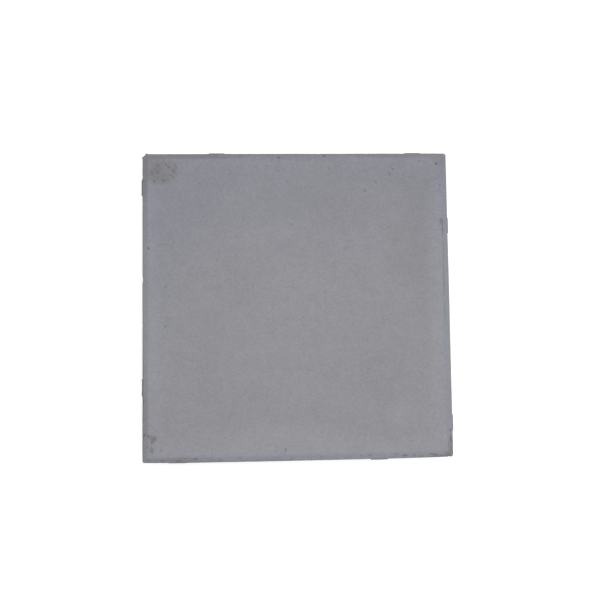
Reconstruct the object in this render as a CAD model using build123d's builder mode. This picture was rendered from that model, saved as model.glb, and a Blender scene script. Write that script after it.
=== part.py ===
from build123d import *
import os

# Concrete paving slab with a bevelled walking face and spacer nibs, cast as one piece.
# Lengths are in millimetres. The origin is the middle of the bed face, +Z is up through the
# walking face, and the broken corner is the one at -X, +Y.

# Laying grid and body
laying_grid = 400.0  # from one edge of a slab to the same edge of the next
joint_width = 3.0  # gap between two slabs, which a nib fills
slab_thickness = 40.0
corner_radius = 3.0  # upright corners
bed_edge_break = 1.0  # small bevel round the bed face

# Bevel round the walking face
bevel_width = 7.5  # seen from above
bevel_drop = 4.0  # from the walking face down to the walls

# Spacer nibs, two on each wall and both off its middle, so that the nibs of two slabs laid
# side by side never meet: each one stands against the plain wall of the neighbour
wall_count = 4
nib_crest_length = 20.0  # flat stretch that touches the neighbour
nib_end_slope = 3.0  # length of the slope at each end
nib_top_slope = 4.0  # height of the lead-in slope at the top
nib_edge_round = 1.5  # where the slopes turn into the crest
nib_cover = 3.0  # plain wall between the nib and the foot of the bevel
nib_from_right = 95.0  # middle of one nib from the wall's right end, seen from outside
nib_from_left = 43.0  # middle of the other nib from the wall's left end

# Broken corner: a shell-shaped bite out of the upright edge
chip_bite = 3.9  # depth along the diagonal, from where the two walls would meet
chip_radius = 16.0
chip_drop = 5.0  # from the walking face down to the deepest point

slab_side = laying_grid - joint_width
half_side = slab_side / 2
bevel_foot = slab_thickness - bevel_drop
nib_top = bevel_foot - nib_cover
nib_crest_top = nib_top - nib_top_slope
nib_foot_length = nib_crest_length + 2 * nib_end_slope


def chip_centre():
    """Middle of the ball that bites the corner, on the diagonal outside the slab."""
    corner = Vector(-half_side, half_side, slab_thickness - chip_drop)
    outward = Vector(-1, 1, 0).normalized()
    return corner + outward * (chip_radius - chip_bite)


# One nib on its own: x runs along the wall, y out from it and z up from the bed face
with BuildPart() as spacer_nib:
    Wedge(
        nib_foot_length,
        joint_width,
        nib_top,
        xmin=nib_end_slope,
        zmin=0,
        xmax=nib_foot_length - nib_end_slope,
        zmax=nib_crest_top,
        align=(Align.CENTER, Align.MIN, Align.MIN),
    )
    crest = spacer_nib.faces().sort_by(Axis.Y)[-1]
    fillet(crest.edges().sort_by(Axis.Z)[1:], nib_edge_round)

with BuildPart() as paving_slab:
    # Block with its walking face bevelled on all four sides
    with BuildSketch():
        Rectangle(slab_side, slab_side)
    extrude(amount=slab_thickness)
    walking_face = paving_slab.faces().sort_by(Axis.Z)[-1]
    chamfer(walking_face.edges(), bevel_width, bevel_drop, reference=walking_face)

    # Upright corners, which run up until the bevels cut them off
    fillet(paving_slab.edges().filter_by(Axis.Z), corner_radius)

    # The same pair of nibs on every wall, turned with it: here x points out of the wall and
    # y runs along it to the right, seen from outside
    with PolarLocations(half_side, wall_count):
        with Locations((0, half_side - nib_from_right), (0, nib_from_left - half_side)):
            add(spacer_nib.part, rotation=(0, 0, -90))

    # Small bevel round the bed face, which runs under every nib as well
    bed_face = paving_slab.faces().sort_by(Axis.Z)[0]
    chamfer(bed_face.edges(), bed_edge_break)

    # Broken corner
    with Locations(chip_centre()):
        Sphere(chip_radius, mode=Mode.SUBTRACT)

paving_slab.part.label = "paving_slab"

os.makedirs("parts", exist_ok=True)
export_step(paving_slab.part, "parts/paving_slab.step")
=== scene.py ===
import math
from collections import namedtuple

import bpy
import numpy as np
from bpy.props import FloatProperty, FloatVectorProperty, IntProperty, PointerProperty
from bpy.types import Operator, Panel, PropertyGroup
from mathutils import Matrix, Vector


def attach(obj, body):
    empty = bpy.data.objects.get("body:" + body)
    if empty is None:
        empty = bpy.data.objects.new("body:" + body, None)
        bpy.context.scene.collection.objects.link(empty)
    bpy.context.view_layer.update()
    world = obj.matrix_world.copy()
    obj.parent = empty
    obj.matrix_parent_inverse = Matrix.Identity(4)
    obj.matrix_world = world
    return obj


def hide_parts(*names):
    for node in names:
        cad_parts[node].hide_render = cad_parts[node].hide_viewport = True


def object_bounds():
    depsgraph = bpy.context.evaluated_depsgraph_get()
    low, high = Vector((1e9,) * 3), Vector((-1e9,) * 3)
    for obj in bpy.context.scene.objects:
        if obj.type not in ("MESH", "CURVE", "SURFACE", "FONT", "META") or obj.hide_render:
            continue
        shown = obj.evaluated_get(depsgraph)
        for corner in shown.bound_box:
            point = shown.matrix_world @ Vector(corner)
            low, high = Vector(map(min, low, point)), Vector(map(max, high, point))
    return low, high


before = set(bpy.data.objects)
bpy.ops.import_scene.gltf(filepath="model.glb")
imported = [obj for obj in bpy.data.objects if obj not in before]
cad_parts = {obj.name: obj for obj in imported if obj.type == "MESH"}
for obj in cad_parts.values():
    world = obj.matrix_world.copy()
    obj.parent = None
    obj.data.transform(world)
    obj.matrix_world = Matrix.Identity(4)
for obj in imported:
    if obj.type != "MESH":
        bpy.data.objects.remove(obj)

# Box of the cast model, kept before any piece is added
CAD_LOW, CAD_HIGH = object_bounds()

bl_info = {
    "name": "Concrete Paving Slab",
    "version": (1, 0, 0),
    "blender": (4, 5, 0),
    "location": "3D View > Sidebar > Paving Slab",
    "description": "Casts a worn concrete paving slab with its finish, and sets the stage for it",
    "category": "Object",
}

MM = 0.001
CAD_NODE = "paving_slab"
CAD_BODY = "root"
NIB_HEIGHT = 3 * MM
LEVEL = 0.01 * MM  # heights that differ by less than this are level
FINE_RIM = 12 * MM  # width of the finer modelled stretch along the walls, seen from above
FINE_ENDS = 3 * MM  # height of the finer modelled stretch at the foot and at the top of a wall
DARK_DEPTH = 2 * MM  # a hollow this deep is as dark as hollows get
FLOOR_REACH = 6.0  # metres from the slab to the floor's edge
SENSOR_WIDTH = 36.0  # millimetres

# Damage that the photo shows. Places are in millimetres from the middle of the bed face.
# A bite is an ellipsoid that has broken away: its middle, its half-lengths, and its turn in
# degrees about the upright
Bite = namedtuple("Bite", "middle reach turn")
BROKEN_CORNER = (
    Bite((-207.0, 207.0, 35.0), (16.0, 16.0, 16.0), 0),
)
KNOCKED_EDGES = (
    # Left wall, from the far end to the near one, with the worn crest of its near nib
    Bite((-199.9, 52.0, 37.6), (2.2, 1.6, 1.8), 0),
    Bite((-200.6, 35.0, 36.0), (3.0, 6.0, 4.0), 0),
    Bite((-199.7, 18.0, 37.4), (2.0, 1.5, 1.6), 0),
    Bite((-203.2, -101.0, 31.0), (2.7, 26.0, 12.0), 0),
    Bite((-199.9, -120.5, 37.4), (3.6, 7.0, 3.0), 0),
    Bite((-199.6, -141.5, 37.6), (2.8, 2.4, 2.0), -15),
    Bite((-199.4, -164.0, 37.8), (3.6, 3.0, 2.6), 20),
    Bite((-195.6, -161.8, 38.0), (2.0, 2.2, 1.3), 0),
    # Near wall, from its rounded corner on the left, with the worn crests of its two nibs
    Bite((-199.6, -199.6, 33.0), (3.9, 3.9, 9.0), 0),
    Bite((-156.0, -204.8, 30.0), (30.0, 5.2, 15.0), 0),
    Bite((-190.6, -194.4, 38.4), (3.0, 1.8, 1.0), 0),
    Bite((-153.0, -196.4, 37.7), (4.2, 2.0, 1.4), 0),
    Bite((-131.5, -193.4, 38.9), (3.0, 2.2, 1.2), 5),
    Bite((-101.0, -195.6, 37.9), (1.6, 1.6, 1.1), 0),
    Bite((103.5, -204.2, 31.0), (26.0, 3.4, 12.0), 0),
    Bite((135.0, -194.9, 38.5), (4.8, 1.8, 1.6), 5),
    Bite((168.5, -192.8, 39.4), (2.2, 1.5, 1.2), 8),
    Bite((174.0, -194.4, 38.7), (4.4, 1.8, 1.6), -6),
    # Right wall, near end, and the rounded corner there
    Bite((195.7, -163.2, 37.9), (2.2, 2.0, 1.4), 0),
    Bite((195.4, -174.0, 38.2), (1.5, 4.6, 1.3), 0),
    Bite((199.3, -199.3, 33.0), (3.9, 3.9, 9.0), 0),
    # Far wall, near the right end, and the rounded corner there
    Bite((116.5, 199.4, 37.6), (2.4, 1.8, 1.6), 0),
    Bite((131.0, 199.2, 37.8), (4.6, 1.9, 1.5), 0),
    Bite((191.0, 195.6, 39.6), (3.6, 2.0, 1.7), -20),
    Bite((199.5, 199.5, 33.0), (3.8, 3.8, 9.0), 0),
)
# Scars on the walking face: broken flakes at the near left corner, the long scrape that runs
# along the bevel of the right wall, and a crack
SCARS = (
    Bite((-191.6, -162.6, 40.0), (2.6, 2.2, 0.9), -15),
    Bite((-184.9, -165.2, 40.2), (6.0, 3.2, 0.5), 0),
    Bite((-181.9, -166.8, 40.4), (1.5, 3.6, 1.15), -30),
    Bite((-185.4, -170.6, 40.2), (2.2, 4.4, 0.8), -20),
    Bite((-185.8, -180.8, 40.2), (2.8, 5.0, 0.6), 4),
    Bite((189.4, 107.6, 40.2), (2.8, 4.8, 0.65), -10),
    Bite((189.9, 109.4, 40.3), (1.4, 1.8, 0.9), 0),
    Bite((190.7, 97.0, 40.15), (1.3, 10.0, 0.95), -2),
    Bite((191.0, 66.0, 40.1), (0.8, 24.0, 0.7), 0),
    Bite((190.9, 30.0, 40.15), (1.0, 21.0, 0.95), 0),
    Bite((191.0, -10.0, 40.1), (0.8, 17.0, 0.7), 0),
    # The forked crack across the rough patch at the broken corner
    Bite((-162.2, 179.4, 40.2), (6.6, 1.1, 0.6), -44),
    Bite((-155.4, 178.0, 40.2), (3.8, 1.1, 0.5), 50),
)
# Slivers that the blow left standing at the two ends of the broken corner: where each one
# is and which way it stands out, and how wide and how long both are
SPURS = (((-198.4, 193.6, 35.5), (-1.0, 0.25)), ((-193.4, 198.4, 35.5), (-0.25, 1.0)))
SPUR_WIDTH = 1.6
SPUR_LENGTH = 1.1

# A pit is a pore that has opened in the walking face: where it is, its radius and its depth
Pit = namedtuple("Pit", "x y radius depth")
OPEN_PORES = (
    Pit(184.0, 183.6, 1.5, 1.5), Pit(104.0, 159.2, 1.8, 0.6), Pit(89.5, 148.5, 2.0, 0.65),
    Pit(126.7, 176.2, 1.7, 0.8), Pit(121.5, 171.0, 1.6, 0.6), Pit(122.8, 168.0, 1.4, 0.6),
    Pit(139.8, 169.5, 1.3, 0.5), Pit(-22.0, 192.5, 1.7, 1.2), Pit(37.0, 194.8, 1.7, 1.5),
    Pit(47.4, 53.6, 1.4, 0.3), Pit(62.0, 72.6, 1.6, 0.5), Pit(-6.0, 104.5, 1.6, 0.4),
    Pit(-168.3, -25.2, 1.8, 0.7), Pit(-168.1, 25.0, 1.7, 0.6), Pit(-189.8, 74.8, 1.7, 1.2),
    Pit(-17.5, -183.0, 1.9, 0.75), Pit(-103.0, 58.5, 1.3, 0.3), Pit(120.1, -13.4, 1.3, 0.35),
    Pit(-124.3, 158.8, 1.7, 0.3), Pit(-148.8, 136.7, 1.6, 0.25), Pit(-174.7, -181.0, 1.7, 0.4),
    Pit(-191.5, -177.0, 1.4, 0.9), Pit(7.6, -16.0, 1.7, 0.3), Pit(-23.7, 175.4, 1.6, 0.3),
    Pit(143.8, -176.2, 1.6, 0.3), Pit(188.3, 154.8, 1.6, 0.4), Pit(13.1, -83.7, 1.4, 0.4),
    Pit(-34.1, -80.4, 1.4, 0.25), Pit(-99.0, -106.0, 1.4, 0.35), Pit(-37.9, 180.7, 1.6, 0.4),
    Pit(161.3, 186.8, 1.6, 0.6), Pit(42.8, 177.8, 1.4, 0.4), Pit(-28.9, -185.2, 1.3, 0.5),
    Pit(119.9, 99.8, 1.3, 0.35), Pit(166.1, -158.9, 1.3, 0.25), Pit(-38.9, -176.3, 1.3, 0.35),
    Pit(119.0, 180.2, 1.3, 0.3), Pit(124.2, 180.2, 1.7, 0.5), Pit(143.8, 172.2, 1.3, 0.3),
    Pit(148.0, 165.5, 1.2, 0.4), Pit(181.8, 162.8, 1.4, 0.35), Pit(179.1, 154.7, 1.3, 0.3),
    Pit(190.0, 170.6, 1.3, 0.3),
)
# The rough patch at the broken corner, where the skin of the face has crumbled away: its
# middle, its half-lengths, its turn in degrees and its deepest places
CRUMBLED_MIDDLE = (-171.0, 172.5)
CRUMBLED_REACH = (22.0, 14.5)
CRUMBLED_TURN = 36
CRUMBLED_PITS = (
    Pit(-170.6, 162.6, 2.1, 0.9), Pit(-182.0, 161.5, 1.5, 0.9), Pit(-179.3, 173.0, 1.6, 0.9),
    Pit(-164.0, 179.7, 1.5, 0.8), Pit(-157.7, 174.4, 1.5, 0.8), Pit(-161.6, 169.3, 1.4, 0.8),
    Pit(-168.0, 183.6, 1.4, 0.8), Pit(-177.0, 181.0, 1.3, 0.7), Pit(-157.7, 166.6, 1.1, 0.7),
    Pit(-154.0, 178.4, 1.1, 0.7), Pit(-185.9, 171.9, 1.3, 0.7), Pit(-155.1, 182.3, 1.1, 0.7),
)

# A stain is a cloud of colour on the walking face and its bevel: where its middle is, its
# half-lengths, its turn in degrees and how strong it is
Stain = namedtuple("Stain", "x y reach_x reach_y turn strength")
# Painted shade at the far corners, deepening the far side's painted shade
FAR_SHADE_CLOUDS = (
    Stain(-150.0, 140.0, 110.0, 62.0, 38, 0.65),
    Stain(165.0, 165.0, 72.0, 46.0, -24, 0.50),
)
WARM_CLOUDS = (
    Stain(62.0, 124.0, 62.0, 28.0, -6, 0.55),
    Stain(164.0, 100.0, 48.0, 95.0, 0, 0.85),
    Stain(90.0, 178.0, 80.0, 18.0, 0, 0.50),
    Stain(-76.0, 30.0, 40.0, 34.0, 0, 0.35),
    Stain(-118.0, -88.0, 22.0, 44.0, 0, 0.45),
    Stain(-125.0, -182.0, 50.0, 16.0, 0, 0.50),
    Stain(116.0, -95.0, 30.0, 50.0, 0, 0.30),
)
PALE_AND_LIT_CLOUDS = (
    Stain(2.0, 2.0, 58.0, 44.0, 0, 0.30),
    Stain(0.0, -104.0, 66.0, 20.0, -14, 0.40),
    Stain(130.0, -140.0, 22.0, 19.0, 0, 0.50),
    Stain(-34.0, 92.0, 44.0, 13.0, 12, 0.45),
    # Painted light: the near edge paler, as if more light fell there
    Stain(-22.0, -174.0, 90.0, 24.0, 0, 1.00),
    Stain(-10.0, -60.0, 70.0, 20.0, 0, 0.30),
    Stain(-184.0, -70.0, 26.0, 75.0, 0, 0.50),
    # A pale scratch near the middle
    Stain(-7.8, 2.8, 1.4, 14.0, 12, 1.00),
)
GREEN_CLOUDS = (
    Stain(-15.0, 135.0, 120.0, 42.0, 12, 0.90),
    Stain(-178.0, 0.0, 32.0, 140.0, 0, 1.00),
    Stain(128.0, -136.0, 16.0, 14.0, 0, 0.60),
)
GRIME_AND_SHADE = (
    # Left and near edges, darkest along the left wall's arris
    Stain(-200.0, -146.0, 11.0, 50.0, 0, 0.35),
    Stain(-199.0, -120.0, 3.2, 75.0, 0, 1.20),
    Stain(-200.0, 160.0, 9.0, 40.0, 0, 0.60),
    Stain(-150.0, -199.0, 70.0, 9.0, 0, 0.50),
    Stain(-60.0, -200.0, 70.0, 6.0, 0, 0.35),
    # Far edge and its two corners: painted shade, the far side's band darker
    Stain(-192.0, 185.0, 26.0, 22.0, 40, 0.50),
    Stain(-110.0, 200.0, 100.0, 9.0, 0, 0.55),
    Stain(0.0, 200.0, 80.0, 12.0, 0, 0.50),
    Stain(120.0, 200.0, 80.0, 7.5, 0, 0.50),
    Stain(188.0, 190.0, 14.0, 9.0, -45, 0.40),
    # Right near corner
    Stain(197.5, -184.0, 6.5, 16.0, 0, 0.50),
    Stain(184.0, -197.5, 18.0, 4.5, 0, 0.90),
    Stain(196.0, -192.0, 8.0, 9.0, 0, 0.60),
    # Round the scars
    Stain(-184.5, -167.0, 7.0, 6.5, 0, 0.45),
    Stain(-185.5, -181.0, 3.8, 6.5, 0, 0.40),
    Stain(189.5, 107.0, 3.2, 6.0, 0, 0.20),
)
# Where dirt has dulled the bluish band, its skin and its painted sky light
DULLED = (
    Stain(-145.0, 198.0, 75.0, 14.0, 0, 1.00),
    Stain(120.0, 199.0, 60.0, 10.0, 0, 0.70),
    Stain(-198.0, 170.0, 12.0, 36.0, 0, 0.80),
    Stain(-198.0, -140.0, 12.0, 75.0, 0, 0.60),
    Stain(-165.0, -198.0, 45.0, 12.0, 0, 0.35),
    Stain(196.0, -187.0, 12.0, 18.0, 0, 1.00),
    Stain(198.0, 178.0, 10.0, 24.0, 0, 0.40),
)


def length_of(name, description, default):
    """A size that a user may change."""
    return FloatProperty(
        name=name, description=description, default=default, min=0.0, precision=4, unit="LENGTH"
    )


def count_of(name, description, default, least=0):
    """A whole number that a user may change."""
    return IntProperty(name=name, description=description, default=default, min=least)


def place_of(name, description, default):
    """A place that a user may change."""
    return FloatVectorProperty(
        name=name, description=description, default=default, subtype="TRANSLATION", unit="LENGTH"
    )


def colour_of(name, description, default):
    """A colour that a user may change, as it renders in plain light."""
    return FloatVectorProperty(
        name=name,
        description=description,
        default=default,
        min=0.0,
        max=1.0,
        size=3,
        subtype="COLOR",
    )


class SlabForm(PropertyGroup):
    """Sizes of the cast form, the same as the solid's."""

    side: length_of(
        "Side", "From one wall to the opposite one", CAD_HIGH.x - CAD_LOW.x - 2 * NIB_HEIGHT
    )
    thickness: length_of(
        "Thickness", "From the bed face to the walking face", CAD_HIGH.z - CAD_LOW.z
    )
    corner_radius: length_of("Corner Radius", "Radius of the upright corners", 3 * MM)
    bed_break: length_of("Bed Edge Break", "Small bevel round the bed face", 1 * MM)
    bevel_width: length_of("Bevel Width", "Width of the bevelled band, seen from above", 7.5 * MM)
    bevel_drop: length_of("Bevel Drop", "Height of the bevelled band", 4 * MM)
    nib_height: length_of("Nib Height", "How far the nibs stand out of the walls", NIB_HEIGHT)
    nib_crest: length_of("Nib Crest", "Length of a nib's flat crest", 20 * MM)
    nib_end_slope: length_of("Nib End Slope", "Length of the slope at a nib's end", 3 * MM)
    nib_top_slope: length_of("Nib Top Slope", "Height of the slope at a nib's top", 4 * MM)
    nib_cover: length_of("Nib Cover", "Plain wall between a nib and the bevel", 3 * MM)
    nib_from_right: length_of(
        "Nib From Right", "First nib's middle from the wall's right end", 95 * MM
    )
    nib_from_left: length_of(
        "Nib From Left", "Second nib's middle from the wall's left end", 43 * MM
    )


class SlabWear(PropertyGroup):
    """How the casting and the years have marked the slab."""

    seed: count_of("Seed", "Picks the places of the small marks", 11)
    fine_step: length_of("Fine Step", "Spacing of the modelled points near the edges", 0.6 * MM)
    step: length_of("Step", "Spacing of the modelled points elsewhere", 1.0 * MM)
    triangles: count_of("Triangles", "Most triangles in the finished mesh", 190000, least=1000)
    face_relief: length_of("Face Relief", "Unevenness of the walking face", 0.10 * MM)
    wall_relief: length_of("Wall Relief", "Unevenness of the walls", 0.18 * MM)
    bed_relief: length_of("Bed Relief", "Unevenness of the bed face", 0.8 * MM)
    edge_nicks: count_of("Edge Nicks", "Small nicks along the bevel's foot", 110)
    bow: length_of("Bow", "How far the near wall draws in towards its ends", 1.1 * MM)
    face_pores: count_of("Face Pores", "Small pores in the walking face", 70)
    wall_pores: count_of("Wall Pores", "Air holes in the four walls", 230)
    bed_pores: count_of("Bed Pores", "Air holes in the bed face", 150)


class ConcreteFinish(PropertyGroup):
    """Colours of the concrete and of what has settled on it, with painted light and shade."""

    warm: colour_of("Warm Grey", "Middle of the walking face", (0.305, 0.2995, 0.323))
    # Painted shade: what the far side's darker, bluish cast leaves of a colour
    far_shade: colour_of(
        "Cool Tint", "What the far side's bluish cast leaves of a colour", (0.880, 0.896, 0.962)
    )
    brown: colour_of("Brown Tint", "What brownish clouds leave of a colour", (0.945, 0.940, 0.925))
    green: colour_of("Green Tint", "What greenish clouds leave of a colour", (0.975, 0.997, 0.985))
    # Also gives the painted light along the near edge
    pale: colour_of("Pale Grey", "Paler clouds on the walking face", (0.325, 0.325, 0.345))
    margin: colour_of("Pale Margin", "Bloom just inside the bevel", (0.320, 0.321, 0.350))
    # Partly painted light: the band's blue is the sky light that the bevel catches, laid on its
    # smoother skin
    band: colour_of("Bevel Grey", "Smooth skin of the bevelled band", (0.295, 0.307, 0.352))
    dull: colour_of("Dull Grey", "Band where dirt has settled in its skin", (0.262, 0.252, 0.271))
    arris: colour_of("Arris Grey", "Outer part of the band", (0.312, 0.304, 0.300))
    # Also lays the painted shade along the far edge
    grime_and_shade: colour_of("Grime Tint", "What grime leaves of a colour", (0.705, 0.678, 0.625))
    wall: colour_of("Wall Grey", "Side walls", (0.245, 0.237, 0.235))
    soil: colour_of("Soil Stain", "Earth left on the walls", (0.135, 0.120, 0.100))
    bed: colour_of("Bed Grey", "Underside", (0.300, 0.290, 0.275))
    crumbled: colour_of(
        "Crumbled Tint", "What the rough patch leaves of a colour", (0.985, 0.985, 0.905)
    )
    # Painted shade: the dark laid into pores, chips, scars and cracks by their depth
    hollow: colour_of("Hollow", "Bottom of pores, chips and scars", (0.120, 0.118, 0.112))


class SlabStage(PropertyGroup):
    """Camera, light and floor."""

    camera_place: place_of("Camera Place", "Where the camera stands", (-0.0210, -0.0257, 0.7351))
    camera_target: place_of(
        "Camera Target", "What the middle of the picture looks at", (0.00341, 0.00669, 0.036)
    )
    camera_roll: FloatProperty(
        name="Camera Roll",
        description="Clockwise lean of the camera",
        default=math.radians(0.746),
        subtype="ANGLE",
    )
    lens: FloatProperty(
        name="Lens",
        description="Focal length on a 36 mm sensor",
        default=32.525,
        min=1.0,
        unit="CAMERA",
    )
    dome: FloatProperty(
        name="Dome Strength", description="Light from all round", default=0.62, min=0.0
    )
    lamp_place: place_of("Lamp Place", "Where the soft lamp hangs", (0.42, 0.36, 1.93))
    lamp_size: length_of("Lamp Size", "Side of the soft lamp, which is a square", 1.4)
    lamp_power: FloatProperty(
        name="Lamp Power",
        description="Power of the soft lamp",
        default=14.3,
        min=0.0,
        unit="POWER",
    )
    floor_colour: colour_of("Floor Colour", "The floor in plain light", (0.8, 0.8, 0.8))
    floor_glow: FloatProperty(
        name="Floor Glow",
        description="Lift of the floor towards white in the picture",
        default=0.50,
        min=0.0,
    )


# Shape


def box_lattice(cells):
    """Nodes and quads of a box's six sides, counted in whole steps, with no node twice."""
    sheets = []
    for axis in range(3):
        across, up = (axis + 1) % 3, (axis + 2) % 3
        a, b = np.meshgrid(np.arange(cells[across]), np.arange(cells[up]), indexing="ij")
        for end in (0, cells[axis]):
            ring = ((0, 0), (1, 0), (1, 1), (0, 1)) if end else ((0, 0), (0, 1), (1, 1), (1, 0))
            quad = np.zeros(a.shape + (4, 3), int)
            for corner, (step_across, step_up) in enumerate(ring):
                quad[..., corner, across] = a + step_across
                quad[..., corner, up] = b + step_up
                quad[..., corner, axis] = end
            sheets.append(quad.reshape(-1, 3))
    nodes = np.concatenate(sheets)
    base = max(cells) + 1
    codes, quads = np.unique(nodes @ (1, base, base * base), return_inverse=True)
    places = np.stack((codes % base, codes // base % base, codes // (base * base)), 1)
    return places, quads.reshape(-1, 4)


def stations(length, edge, fine, coarse):
    """Places of the lattice lines along a length, closer together near both ends."""
    near = np.arange(0, edge, fine)
    middle = np.linspace(edge, length - edge, round((length - 2 * edge) / coarse) + 1)
    return np.concatenate((near, middle, (length - near)[::-1]))


def nib_bulge(form, along, height):
    """How far the wall stands out at a place along it and a height above the bed."""
    foot = form.nib_crest / 2 + form.nib_end_slope
    nib_top = form.thickness - form.bevel_drop - form.nib_cover
    bulge = np.zeros_like(along)
    for centre in (form.side / 2 - form.nib_from_right, form.nib_from_left - form.side / 2):
        from_end = (foot - np.abs(along - centre)) / form.nib_end_slope
        from_top = (nib_top - height) / form.nib_top_slope
        bulge = np.maximum(bulge, np.clip(np.minimum(from_end, from_top), 0, 1))
    return bulge * form.nib_height


def top_height(form, inset):
    """Height of the top above the bed at this distance in from the walls."""
    return form.thickness - form.bevel_drop * (1 - np.clip(inset / form.bevel_width, 0, 1))


def cast_form(form, wear):
    """The slab as it leaves the mould: points, quads, and how far in from the walls each is."""
    half = form.side / 2
    foot = form.thickness - form.bevel_drop
    plan = stations(form.side, FINE_RIM, wear.fine_step, wear.step) - half
    levels = stations(foot, FINE_ENDS, wear.fine_step, wear.step)
    nodes, quads = box_lattice((len(plan) - 1, len(plan) - 1, len(levels) - 1))
    x, y, level = plan[nodes[:, 0]], plan[nodes[:, 1]], levels[nodes[:, 2]]

    # The bed face is drawn in a little, which makes the small bevel round it
    drawn_in = np.where(nodes[:, 2] == 0, form.bed_break / half, 0.0)
    x, y = x * (1 - drawn_in), y * (1 - drawn_in)

    # Upright corners: the square at each corner of the plan becomes a quarter of a disc
    inner = half - form.corner_radius
    u = np.clip((np.abs(x) - inner) / form.corner_radius, 0, 1)
    v = np.clip((np.abs(y) - inner) / form.corner_radius, 0, 1)
    round_x = inner + form.corner_radius * u * np.sqrt(1 - v * v / 2)
    round_y = inner + form.corner_radius * v * np.sqrt(1 - u * u / 2)
    corner = (u > 0) & (v > 0)
    x = np.where(corner, np.sign(x) * round_x, x)
    y = np.where(corner, np.sign(y) * round_y, y)

    # Height of the top under the bevel, which the walls reach up to
    inset = half - np.maximum(np.abs(x), np.abs(y))
    z = level / foot * top_height(form, inset)

    # Nibs, the same pair on each wall
    last = len(plan) - 1
    for side, along, outward, axis in (
        (nodes[:, 0] == last, y, 1, 0),
        (nodes[:, 1] == last, -x, 1, 1),
        (nodes[:, 0] == 0, -y, -1, 0),
        (nodes[:, 1] == 0, x, -1, 1),
    ):
        bulge = np.where(side, nib_bulge(form, along, z), 0.0) * outward
        x, y = (x + bulge, y) if axis == 0 else (x, y + bulge)
    return np.stack((x, y, z), 1), quads, inset


def outward_of(points, quads):
    """Unit outward direction at each point, and the area round it."""
    a, b, c, d = (points[quads[:, k]] for k in range(4))
    cross = np.cross(c - a, d - b) / 2
    total = np.stack(
        [np.bincount(quads.ravel(), np.repeat(cross[:, k], 4), len(points)) for k in range(3)], 1
    )
    size = np.linalg.norm(total, axis=1)
    return total / np.maximum(size, 1e-15)[:, None], size / 4


def soften(points, quads, amount, rounds):
    """Rounds edges off: draws each point towards the middle of its neighbours by its amount."""
    here = np.concatenate((quads.ravel(), np.roll(quads, -1, 1).ravel()))
    there = np.concatenate((np.roll(quads, -1, 1).ravel(), quads.ravel()))
    count = np.bincount(here, minlength=len(points))
    for _ in range(rounds):
        middle = [np.bincount(here, points[there, k], len(points)) / count for k in range(3)]
        points = points + amount[:, None] * (np.stack(middle, 1) - points)
    return points


class Grain:
    """Smooth random values of about -1 to 1 all through space, the same on every run."""

    CELLS = 48

    def __init__(self, random):
        self.values = random.uniform(-1, 1, (self.CELLS,) * 3)

    def at(self, points, size):
        """Values that change over about this size."""
        scaled = points / size
        cell = np.floor(scaled).astype(int)
        share = scaled - cell
        share = share * share * (3 - 2 * share)
        total = np.zeros(len(points))
        for corner in np.ndindex(2, 2, 2):
            weight = np.prod(np.where(corner, share, 1 - share), axis=1)
            i, j, k = ((cell + corner) % self.CELLS).T
            total += weight * self.values[i, j, k]
        return total

    def layers(self, points, size, count=3):
        """Several sizes at once, each half the size and half the strength of the one before."""
        total = sum(self.at(points, size / 2**n) / 2**n for n in range(count))
        return total / (2 - 2.0 ** (1 - count))

    def share(self, points, size):
        """The same, but from about 0 to 1."""
        return 0.5 + 0.5 * self.layers(points, size)


def break_away(points, bites):
    """Pushes every point inside a bite out to its skin, as if the bite had broken away."""
    for bite in bites:
        turn = np.array(Matrix.Rotation(math.radians(bite.turn), 3, "Z"))
        middle, reach = np.array(bite.middle) * MM, np.array(bite.reach) * MM
        local = (points - middle) @ turn / reach
        depth = np.linalg.norm(local, axis=1)
        inside = depth < 1
        local[inside] /= np.maximum(depth[inside], 1e-6)[:, None]
        points[inside] = (local[inside] * reach) @ turn.T + middle


def raise_spurs(points):
    """Draws out the slivers left at the ends of the broken corner."""
    for place, outward in SPURS:
        away = np.linalg.norm(points - np.array(place) * MM, axis=1) / (SPUR_WIDTH * MM)
        points[:, :2] += np.exp(-away * away)[:, None] * np.array(outward) * SPUR_LENGTH * MM


def open_pits(points, outward, pits):
    """Sinks round pits: each is a centre, a radius and a depth."""
    sink = np.zeros(len(points))
    for centre, radius, depth in pits:
        near = np.flatnonzero(np.abs(points - centre).max(axis=1) < radius)
        away = np.linalg.norm(points[near] - centre, axis=1) / radius
        sink[near] = np.maximum(sink[near], np.sqrt(np.clip(1 - away * away, 0, 1)) * depth)
    points -= outward * sink[:, None]


def scatter(random, chance, points, count, smallest, largest, depth_share):
    """Random pits among these points, with many small ones to each large one."""
    picked = random.choice(len(points), count, replace=False, p=chance / chance.sum())
    sizes = smallest * (largest / smallest) ** (random.random(count) ** 2)
    return [(points[k], size, size * depth_share) for k, size in zip(picked, sizes)]


def crumble(points, face, grain):
    """How far each point lies in the crumbled patch, from 0 outside it to 1."""
    turn = np.array(Matrix.Rotation(math.radians(CRUMBLED_TURN), 2))
    middle, reach = np.array(CRUMBLED_MIDDLE) * MM, np.array(CRUMBLED_REACH) * MM
    local = (points[:, :2] - middle) @ turn / reach
    ragged, rim, fade = 0.38, 1.08, 0.3
    away = np.linalg.norm(local, axis=1) + ragged * grain.layers(points, 9 * MM)
    return np.clip((rim - away) / fade, 0, 1) * face


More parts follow.
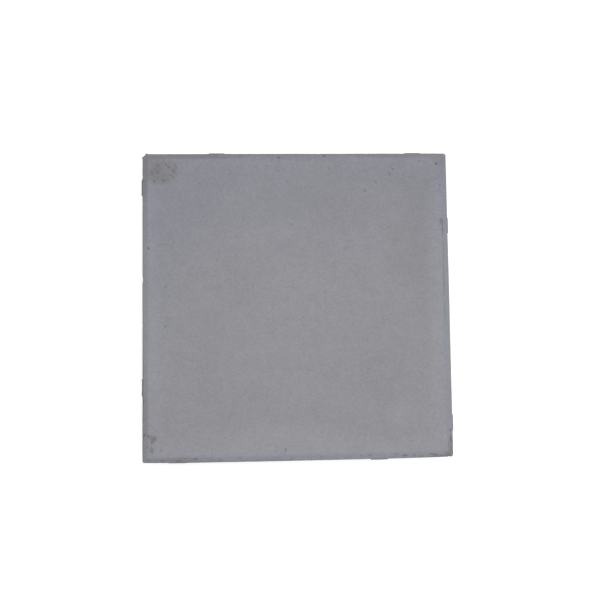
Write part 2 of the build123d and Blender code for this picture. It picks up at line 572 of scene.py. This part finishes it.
def weather(form, wear, points, quads, inset):
    """The worn slab: its points, and how hollow and how crumbled each one is."""
    random = np.random.default_rng(wear.seed)
    grain = Grain(random)
    half, foot = form.side / 2, form.thickness - form.bevel_drop
    outward, area = outward_of(points, quads)

    # Where each kind of mark may fall
    height = points[:, 2]
    on_face = height > form.thickness - LEVEL
    on_wall = (inset < 0.5 * MM) & (height < foot - 4 * MM) & (height > 1.5 * MM)
    on_bed = height < LEVEL
    on_arris = (np.abs(inset) < 0.8 * MM) & (np.abs(height - foot) < 1.0 * MM)

    # The near wall is slightly bowed
    nearness = np.clip(-points[:, 1] / half, 0, 1) ** 3
    points[:, 1] += wear.bow * nearness * np.abs(points[:, 0] / half) ** 4

    # Arrises round off, more in some stretches than in others
    edge_reach = 3 * MM
    near_wall = np.clip(1 - inset / edge_reach, 0, 1)
    near_bevel_line = np.clip(1 - np.abs(inset - form.bevel_width) / edge_reach, 0, 1)
    uneven = grain.share(points, 22 * MM)
    amount = np.maximum(near_wall, 0.6 * near_bevel_line) * uneven * 0.6
    points = soften(points, quads, amount, rounds=5)

    # Broken corner, knocked edges, scars and nicks, all with a ragged skin
    whole = points.copy()
    break_away(points, BROKEN_CORNER + KNOCKED_EDGES + SCARS)
    nicks = scatter(
        random,
        area * on_arris,
        points,
        wear.edge_nicks,
        smallest=0.7 * MM,
        largest=1.4 * MM,
        depth_share=0.4,
    )
    open_pits(points, outward, nicks)
    broken = np.linalg.norm(points - whole, axis=1)
    ragged = np.clip(broken / (0.3 * MM), 0, 1) * 0.25 * MM
    points -= outward * (ragged * grain.share(points, 3 * MM))[:, None]
    raise_spurs(points)

    # Crumbled patch
    crumbled = crumble(points, on_face, grain)
    rough = grain.share(points, 3.6 * MM)
    points -= outward * (crumbled * (0.05 + 0.5 * rough**2) * MM)[:, None]

    # Pores: first those at known places, then small ones scattered over each side
    known = []
    for pit in OPEN_PORES + CRUMBLED_PITS:
        top = top_height(form, half - max(abs(pit.x), abs(pit.y)) * MM)
        known.append((np.array((pit.x * MM, pit.y * MM, top)), pit.radius * MM, pit.depth * MM))
    open_pits(points, outward, known)
    for zone, count, smallest, largest, depth_share in (
        (on_face, wear.face_pores, 0.6 * MM, 1.1 * MM, 0.4),
        (on_wall, wear.wall_pores, 0.7 * MM, 2.6 * MM, 0.8),
        (on_bed, wear.bed_pores, 1.0 * MM, 3.5 * MM, 0.8),
    ):
        pits = scatter(random, area * zone, points, count, smallest, largest, depth_share)
        open_pits(points, outward, pits)
    hollow = np.clip(np.einsum("ij,ij->i", whole - points, outward) / DARK_DEPTH, 0, 1)

    # Unevenness left by the mould on the face and walls, and by tamping on the underside
    relief = np.where(on_face, wear.face_relief, wear.wall_relief)
    relief = np.where(on_bed, wear.bed_relief / 2, relief)
    broad, fine = grain.layers(points, 45 * MM), grain.layers(points[:, ::-1], 3.5 * MM, 2)
    points -= outward * (relief * (0.5 + 0.35 * broad + 0.15 * fine))[:, None]

    # Nothing stands out of the cast model's box
    limit = np.array(CAD_HIGH)
    points = np.clip(points, (-limit[0], -limit[1], 0), limit)
    return points, hollow, crumbled


def mesh_of(name, points, quads, **marks):
    """A mesh object from points and quads, with a value at each point for every mark."""
    mesh = bpy.data.meshes.new(name)
    mesh.vertices.add(len(points))
    mesh.vertices.foreach_set("co", points.ravel())
    mesh.loops.add(quads.size)
    mesh.loops.foreach_set("vertex_index", quads.ravel())
    mesh.polygons.add(len(quads))
    mesh.polygons.foreach_set("loop_start", np.arange(0, quads.size, 4))
    mesh.update(calc_edges=True)
    for mark, values in marks.items():
        mesh.attributes.new(mark, "FLOAT", "POINT").data.foreach_set("value", values)
    piece = bpy.data.objects.new(name, mesh)
    bpy.context.scene.collection.objects.link(piece)
    return piece


def thin_out(piece, triangles):
    """Leaves the mesh with this many triangles, close together only where the surface turns."""
    modifier = piece.modifiers.new("thin_out", "DECIMATE")
    modifier.ratio = min(1.0, triangles / (2 * len(piece.data.polygons)))
    modifier.use_collapse_triangulate = True
    seen = piece.evaluated_get(bpy.context.evaluated_depsgraph_get())
    thinned = bpy.data.meshes.new_from_object(seen)
    piece.modifiers.clear()
    dense, piece.data = piece.data, thinned
    bpy.data.meshes.remove(dense)
    thinned.name = piece.name
    thinned.shade_smooth()


# Finish


def rgba(colour):
    """A colour in the form that a node's socket takes."""
    return (*colour, 1.0)


class Value:
    """An output of a node. Arithmetic on it adds the Math nodes that work it out."""

    def __init__(self, sheet, socket):
        self.sheet, self.socket = sheet, socket

    def math(self, operation, *others, first=None):
        """A Math node with this value as its first input, or after the one given as first."""
        inputs = ([] if first is None else [first]) + [self, *others]
        return self.sheet.node("ShaderNodeMath", {"operation": operation}, dict(enumerate(inputs)))

    def __add__(self, other):
        return self.math("ADD", other)

    def __sub__(self, other):
        return self.math("SUBTRACT", other)

    def __rsub__(self, other):
        return self.math("SUBTRACT", first=other)

    def __mul__(self, other):
        return self.math("MULTIPLY", other)

    def __truediv__(self, other):
        return self.math("DIVIDE", other)

    def __pow__(self, other):
        return self.math("POWER", other)

    __radd__ = __add__
    __rmul__ = __mul__

    def __abs__(self):
        return self.math("ABSOLUTE")

    def over(self, other):
        """The larger of the two."""
        return self.math("MAXIMUM", other)

    def under(self, other):
        """The smaller of the two."""
        return self.math("MINIMUM", other)


class Sheet:
    """A node tree, written as expressions on its values."""

    def __init__(self, tree):
        self.tree = tree
        tree.nodes.clear()

    def node(self, kind, settings=None, inputs=None, output=0):
        """Adds a node: its settings first, then the values or links of its sockets."""
        made = self.tree.nodes.new(kind)
        for name, setting in (settings or {}).items():
            setattr(made, name, setting)
        for name, value in (inputs or {}).items():
            if isinstance(value, Value):
                self.tree.links.new(value.socket, made.inputs[name])
            else:
                made.inputs[name].default_value = value
        return Value(self, made.outputs[output]) if made.outputs else None

    def place(self):
        """Where a point of the surface lies in the piece's own space, in metres."""
        return self.node("ShaderNodeTexCoord", output="Object")

    def parts(self, vector):
        """The three parts of a vector."""
        split = self.node("ShaderNodeSeparateXYZ", inputs={0: vector})
        return [Value(self, socket) for socket in split.socket.node.outputs]

    def noise(self, place, size, detail=3.0, roughness=0.5, wobble=0.0):
        """Cloudy values from 0 to 1, round 0.5, that change over about this size."""
        return self.node(
            "ShaderNodeTexNoise",
            inputs={
                "Vector": place,
                "Scale": 1 / size,
                "Detail": detail,
                "Roughness": roughness,
                "Distortion": wobble,
            },
        )

    def step(self, value, start, end):
        """0 before start and 1 past end, with a smooth change between. End may be the lower."""
        return self.node(
            "ShaderNodeMapRange",
            {"interpolation_type": "SMOOTHSTEP"},
            {"Value": value, "From Min": start, "From Max": end},
        )

    def blend(self, colour, above, share, how="MIX"):
        """This share of a plain colour laid over what is there."""
        settings = {"data_type": "RGBA", "blend_type": how}
        return self.node("ShaderNodeMix", settings, {0: share, 6: colour, 7: rgba(above)}, 2)

    def tint(self, colour, film, share):
        """What is there, seen through a tinted film that covers this share of it."""
        return self.blend(colour, film, share, "MULTIPLY")

    def shade(self, colour, brightness):
        """The colour times a brightness."""
        settings = {"operation": "SCALE"}
        return self.node("ShaderNodeVectorMath", settings, {0: colour, "Scale": brightness})

    def specks(self, place, size, radius, share):
        """Small dark spots: one in a cell of this size, in this share of the cells."""
        cells = self.node("ShaderNodeTexVoronoi", inputs={"Vector": place, "Scale": 1 / size})
        random_part = self.parts(Value(self, cells.socket.node.outputs["Color"]))[0]
        reach = radius / size
        spot = self.step(cells, reach, 0.5 * reach)
        return spot * self.step(random_part, 1 - share, 1 - 0.8 * share)

    def clouds(self, x, y, stains, ragged):
        """Where these stains lie, with edges broken up by a ragged value of about 0 to 1."""
        total = None
        for stain in stains:
            turn = math.radians(stain.turn)
            dx, dy = x - stain.x * MM, y - stain.y * MM
            along = (dx * math.cos(turn) + dy * math.sin(turn)) / (stain.reach_x * MM)
            across = (dy * math.cos(turn) - dx * math.sin(turn)) / (stain.reach_y * MM)
            away = (along * along + across * across) ** 0.5 + (ragged - 0.5) * 1.2
            part = self.step(away, 1.35, 0.45) * stain.strength
            total = part if total is None else total.over(part)
        return total

    def mark(self, name):
        """A value that was put on the mesh point by point."""
        return self.node("ShaderNodeAttribute", {"attribute_name": name}, output="Fac")


def face_colour(sheet, form, finish, x, y, inset, broad, cloudy, mottle):
    """Colour of the walking face and its bevelled band, before marks and grain."""
    # Brownish, greenish and paler clouds on a warm grey; the paler stretch along the near edge is
    # painted light
    brown = sheet.clouds(x, y, WARM_CLOUDS, cloudy)
    colour = sheet.tint(rgba(finish.warm), finish.brown, brown)
    green = sheet.clouds(x, y, GREEN_CLOUDS, cloudy).over(sheet.step(broad, 0.52, 0.66) * 0.35)
    colour = sheet.tint(colour, finish.green, green)
    colour = sheet.blend(colour, finish.pale, sheet.clouds(x, y, PALE_AND_LIT_CLOUDS, cloudy))

    # Paler bloom just inside the bevel, widest on the right and near sides
    far, near = sheet.step(y, 110 * MM, 188 * MM), sheet.step(y, -150 * MM, -188 * MM)
    lean = sheet.step(x - y, -260 * MM, 200 * MM)
    bloom_width = (11 + 8 * lean + (cloudy - 0.5) * 18) * MM
    bloom = sheet.step(inset - form.bevel_width, bloom_width * 1.7, bloom_width * 0.4)
    colour = sheet.blend(colour, finish.margin, bloom * (0.85 - 0.6 * far))

    # Bevelled band: bluish along its inner line, partly its smooth skin and partly painted sky
    # light and highlight, brownish-grey at its arris, and dull in places
    dulled = sheet.clouds(x, y, DULLED, cloudy)
    skin_and_skylight = sheet.step(inset, form.bevel_width + 4 * MM, form.bevel_width)
    skin_and_skylight = skin_and_skylight * (0.9 - 0.5 * far + (mottle - 0.5) * 0.8) * (1 - 0.7 * dulled)
    colour = sheet.blend(colour, finish.band, skin_and_skylight)
    band = sheet.step(inset, form.bevel_width + 1.4 * MM, form.bevel_width - 0.6 * MM)
    colour = sheet.blend(colour, finish.dull, band * dulled * 0.75)
    outer = sheet.step(inset + (mottle - 0.5) * 2 * MM, 6.5 * MM, 1.0 * MM)
    colour = sheet.blend(colour, finish.arris, outer * (0.9 - 0.55 * near))

    # Painted shade: the far side darker and bluish, strongest at its two corners, as if less light
    # fell there
    across, along = (x - 20 * MM) * 0.78, y + 90 * MM
    ragged = ((broad - 0.5) * 110 + (cloudy - 0.5) * 50) * MM
    from_lit_middle = (across * across + along * along) ** 0.5 + ragged
    far_shade = sheet.step(from_lit_middle, 110 * MM, 350 * MM) * 0.92
    far_shade = far_shade.over(sheet.clouds(x, y, FAR_SHADE_CLOUDS, cloudy) + far_shade * 0.4)
    return sheet.tint(colour, finish.far_shade, far_shade)


def concrete(form, finish):
    """Mottled grey concrete: face, bevelled band, walls and bed, with what has settled on them, and
    painted light and shade on the face, band and hollows.
    """
    material = bpy.data.materials.new("weathered_concrete")
    material.use_nodes = True
    sheet = Sheet(material.node_tree)
    place = sheet.place()
    x, y, z = sheet.parts(place)
    foot = form.thickness - form.bevel_drop
    inset = form.side / 2 - abs(x).over(abs(y))

    # Unevenness of five sizes, and what was put on the mesh
    broad = sheet.noise(place, 90 * MM, detail=2.0)
    cloudy = sheet.noise(place, 30 * MM, detail=4.0, roughness=0.6, wobble=0.4)
    mottle = sheet.noise(place, 9 * MM, roughness=0.6)
    fine = sheet.noise(place, 2.8 * MM, roughness=0.7, wobble=0.6)
    sand = sheet.noise(place, 0.8 * MM, detail=2.0)
    hollow = sheet.mark("hollow")
    crumbled = sheet.mark("crumbled")

    colour = face_colour(sheet, form, finish, x, y, inset, broad, cloudy, mottle)

    # The rough patch has lost some of the skin's blue, most of all in its near part
    lost = crumbled * (0.5 + 0.5 * sheet.step(y, 180 * MM, 166 * MM))
    colour = sheet.tint(colour, finish.crumbled, lost)

    # Walls, with earth on them, and the bed face
    wall = sheet.step(z, foot - 0.2 * MM, foot - 1.6 * MM)
    colour = sheet.blend(colour, finish.wall, wall)
    earth = sheet.step(cloudy + 0.6 * (mottle - 0.5) - z * 6, 0.42, 0.62) * wall
    colour = sheet.blend(colour, finish.soil, earth * 0.5)
    bed = sheet.step(z, 1.6 * MM, 0.9 * MM)
    colour = sheet.blend(colour, finish.bed, bed)

    # Grime along the bevel's foot and at the corners, and in blots on the near band; along the far
    # edge it is painted shade
    rim = sheet.step(inset, 3.2 * MM, 0.2 * MM) * sheet.step(mottle, 0.38, 0.62) * 0.35
    on_band = sheet.step(inset, form.bevel_width + 1 * MM, form.bevel_width - 1 * MM)
    blots = on_band * sheet.step(mottle, 0.46, 0.32) * sheet.step(y, -184 * MM, -190 * MM) * 0.7
    grime_and_shade = sheet.clouds(x, y, GRIME_AND_SHADE, fine) * (0.55 + 1.2 * (mottle - 0.35))
    colour = sheet.tint(colour, finish.grime_and_shade, (grime_and_shade + rim + blots) * (1 - bed))

    # Painted shade in everything sunken, and in specks and crumbs too small to be modelled
    rim_specks = sheet.specks(place, size=5.5 * MM, radius=1.0 * MM, share=0.4)
    rim_specks = rim_specks * sheet.step(inset, 4 * MM, 1.5 * MM)
    specks = sheet.specks(place, size=7 * MM, radius=0.9 * MM, share=0.3)
    specks = (specks * 0.22).over(rim_specks * 0.5)
    veins = sheet.noise(place, 6 * MM, roughness=0.6, wobble=1.0)
    cracks = sheet.step(abs(veins - 0.5), 0.045, 0.01)
    crumbs = sheet.step(fine, 0.47, 0.30).over(cracks * 0.8) * crumbled * (0.04 + 0.6 * mottle)
    hollow_shade = hollow.under(0.65) ** 0.75 * 0.9
    colour = sheet.blend(colour, finish.hollow, hollow_shade.over(specks).over(crumbs))

    # Grain, in brightness and in relief
    grain = (cloudy - 0.5) * 0.09 + (mottle - 0.5) * 0.18
    grain = grain + (fine - 0.5) * 0.45 + (sand - 0.5) * 0.15
    colour = sheet.shade(colour, 1 + grain)
    height = fine * 0.9 + sand * 0.45 + mottle * 0.8 - specks * 2
    normal = sheet.node(
        "ShaderNodeBump", inputs={"Strength": 1.0, "Distance": 0.12 * MM, "Height": height}
    )
    shader = sheet.node(
        "ShaderNodeBsdfPrincipled",
        inputs={
            "Base Color": colour,
            "Roughness": 0.86 + (mottle - 0.5) * 0.2,
            "Specular IOR Level": 0.3,
            "Normal": normal,
        },
    )
    sheet.node("ShaderNodeOutputMaterial", inputs={"Surface": shader})
    return material


class SLAB_OT_cast(Operator):
    """Cast the slab, wear it and give it its concrete finish"""

    bl_idname = "slab.cast"
    bl_label = "Cast Paving Slab"

    def execute(self, context):
        form, wear = context.scene.slab_form, context.scene.slab_wear
        points, quads, inset = cast_form(form, wear)
        points, hollow, crumbled = weather(form, wear, points, quads, inset)
        piece = mesh_of("cast_slab", points, quads, hollow=hollow, crumbled=crumbled)
        thin_out(piece, wear.triangles)
        piece.data.materials.append(concrete(form, context.scene.slab_finish))
        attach(piece, CAD_BODY)
        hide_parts(CAD_NODE)
        return {"FINISHED"}


# Stage


def straight_through(sheet):
    """1 where the camera sees a thing itself, in gloss or through glass, and 0 as it lights."""
    paths = sheet.node("ShaderNodeLightPath").socket.node.outputs
    names = ("Is Camera Ray", "Is Glossy Ray", "Is Transmission Ray")
    camera, glossy, through = (Value(sheet, paths[name]) for name in names)
    return camera.over(glossy).over(through)


def lay_floor(colour, glow):
    """A wide pale floor. Its own glow lifts it to white where no shadow falls."""
    mesh = bpy.data.meshes.new("floor")
    corners = [
        (x * FLOOR_REACH, y * FLOOR_REACH, 0) for x, y in ((-1, -1), (1, -1), (1, 1), (-1, 1))
    ]
    mesh.from_pydata(corners, [], [(0, 1, 2, 3)])
    floor = bpy.data.objects.new("floor", mesh)
    bpy.context.scene.collection.objects.link(floor)
    material = bpy.data.materials.new("pale_floor")
    material.use_nodes = True
    sheet = Sheet(material.node_tree)
    matt = sheet.node("ShaderNodeBsdfDiffuse", inputs={"Color": rgba(colour)})
    lift = sheet.node("ShaderNodeEmission", inputs={"Strength": straight_through(sheet) * glow})
    both = sheet.node("ShaderNodeAddShader", inputs={0: matt, 1: lift})
    sheet.node("ShaderNodeOutputMaterial", inputs={"Surface": both})
    mesh.materials.append(material)


def light_dome(strength):
    """Even light from all round, with a white background behind it."""
    world = bpy.data.worlds.new("soft_dome")
    world.use_nodes = True
    sheet = Sheet(world.node_tree)
    light = sheet.node("ShaderNodeBackground", inputs={"Color": (1, 1, 1, 1), "Strength": strength})
    white = sheet.node("ShaderNodeBackground", inputs={"Color": (1, 1, 1, 1), "Strength": 1.0})
    seen = straight_through(sheet)
    both = sheet.node("ShaderNodeMixShader", inputs={0: seen, 1: light, 2: white})
    sheet.node("ShaderNodeOutputWorld", inputs={"Surface": both})
    bpy.context.scene.world = world


def aim(piece, place, target, roll=0.0):
    """Stands a camera or lamp at a place and turns it to a target, leaning clockwise by roll."""
    ahead = (target - place).normalized()
    level_right = ahead.cross(Vector((0, 1, 0))).normalized()
    level_up = level_right.cross(ahead)
    up = level_up * math.cos(roll) + level_right * math.sin(roll)
    right = ahead.cross(up)
    turned = Matrix((right, up, -ahead)).transposed().to_4x4()
    piece.matrix_world = Matrix.Translation(place) @ turned


def hang_lamp(place, size, power):
    """One wide soft lamp, aimed at the middle of the bed face."""
    data = bpy.data.lights.new("soft_key", "AREA")
    data.shape = "SQUARE"
    data.size = size
    data.energy = power
    lamp = bpy.data.objects.new("soft_key", data)
    bpy.context.scene.collection.objects.link(lamp)
    aim(lamp, Vector(place), Vector((0, 0, 0)))


def set_camera(stage):
    """The photo's own viewpoint, nearly straight above the slab."""
    data = bpy.data.cameras.new("camera")
    data.sensor_width = SENSOR_WIDTH
    data.lens = stage.lens
    data.clip_start = 0.01
    camera = bpy.data.objects.new("camera", data)
    bpy.context.scene.collection.objects.link(camera)
    aim(camera, Vector(stage.camera_place), Vector(stage.camera_target), stage.camera_roll)
    bpy.context.scene.camera = camera


class SLAB_OT_stage(Operator):
    """Lay the floor, light it and set the camera"""

    bl_idname = "slab.stage"
    bl_label = "Set Stage"

    def execute(self, context):
        stage = context.scene.slab_stage
        lay_floor(stage.floor_colour, stage.floor_glow)
        light_dome(stage.dome)
        hang_lamp(stage.lamp_place, stage.lamp_size, stage.lamp_power)
        set_camera(stage)
        context.scene.view_settings.view_transform = "Standard"
        return {"FINISHED"}


class SLAB_PT_sidebar(Panel):
    """Lists the steps that make the slab, with the settings of each"""

    bl_idname = "SLAB_PT_sidebar"
    bl_label = "Paving Slab"
    bl_space_type = "VIEW_3D"
    bl_region_type = "UI"
    bl_category = "Paving Slab"

    def draw(self, context):
        scene = context.scene
        for step, groups in (
            (SLAB_OT_cast, (scene.slab_form, scene.slab_wear, scene.slab_finish)),
            (SLAB_OT_stage, (scene.slab_stage,)),
        ):
            box = self.layout.box()
            box.operator(step.bl_idname)
            for group in groups:
                for name in group.__annotations__:
                    box.prop(group, name)


GROUPS = {
    "slab_form": SlabForm,
    "slab_wear": SlabWear,
    "slab_finish": ConcreteFinish,
    "slab_stage": SlabStage,
}
TOOLS = (SLAB_OT_cast, SLAB_OT_stage, SLAB_PT_sidebar)


def register():
    for name, group in GROUPS.items():
        bpy.utils.register_class(group)
        setattr(bpy.types.Scene, name, PointerProperty(type=group))
    for tool in TOOLS:
        bpy.utils.register_class(tool)


def unregister():
    for tool in reversed(TOOLS):
        bpy.utils.unregister_class(tool)
    for name, group in reversed(GROUPS.items()):
        delattr(bpy.types.Scene, name)
        bpy.utils.unregister_class(group)


def main():
    register()
    bpy.ops.slab.cast()
    bpy.ops.slab.stage()


if __name__ == "__main__":
    main()
